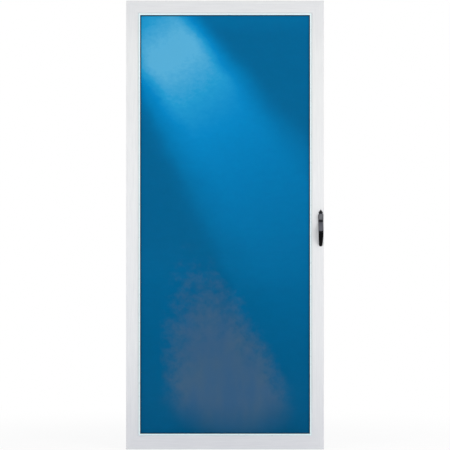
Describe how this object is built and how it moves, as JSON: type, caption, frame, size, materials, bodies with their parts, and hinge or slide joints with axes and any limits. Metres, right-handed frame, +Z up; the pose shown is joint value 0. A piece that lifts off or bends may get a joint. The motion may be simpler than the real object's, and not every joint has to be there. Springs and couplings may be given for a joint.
{
  "type": "full-view storm door",
  "caption": "White aluminium full-view storm door with one blue glass pane and a black pull handle, hinged to a surface frame.",
  "frame": {"origin": "on the wall face of the hinge rail's flange, at mid-height of the leaf", "axes": "+X along the leaf from its hinges to its handle, +Y indoors into the wall, +Z up"},
  "size_m": [0.8889, 0.1153, 2.018],
  "materials": {
    "white_paint": "satin white paint on aluminium",
    "blue_glass": "tempered glass with a blue tint",
    "gasket": "black vinyl",
    "black_handle": "satin black",
    "steel": "zinc plated"
  },
  "bodies": {
    "root": {"hinge_rail": "white_paint", "latch_rail": "white_paint", "head_rail": "white_paint", "strike_plate": "steel", "lower_frame_leaf": "white_paint", "middle_frame_leaf": "white_paint", "upper_frame_leaf": "white_paint", "lower_hinge_pin": "steel", "middle_hinge_pin": "steel", "upper_hinge_pin": "steel"},
    "door": {"hinge_stile": "white_paint", "latch_stile": "white_paint", "top_rail": "white_paint", "bottom_rail": "white_paint", "glass_pane": "blue_glass", "glass_gasket": "gasket", "bottom_sweep": "gasket", "outside_bead_hinge": "white_paint", "outside_bead_latch": "white_paint", "outside_bead_top": "white_paint", "outside_bead_bottom": "white_paint", "inside_bead_hinge": "white_paint", "inside_bead_latch": "white_paint", "inside_bead_top": "white_paint", "inside_bead_bottom": "white_paint", "lower_door_leaf": "white_paint", "middle_door_leaf": "white_paint", "upper_door_leaf": "white_paint", "handle_plate": "black_handle", "handle_grip": "black_handle", "latch_case": "black_handle", "latch_lever": "black_handle", "latch_bolt": "steel"},
    "button": {"push_button": "black_handle"}
  },
  "joints": [
    {"name": "door_swing", "type": "hinge", "parent": "root", "child": "door", "pos_m": [0.00145, -0.0235, 0], "axis": [0, 0, -1], "range_deg": [0, 100]},
    {"name": "button_press", "type": "slide", "parent": "door", "child": "button", "axis": [0, 1, 0], "range_m": [0, 0.005], "stiffness_N_per_m": 400, "springref_m": -0.001}
  ]
}
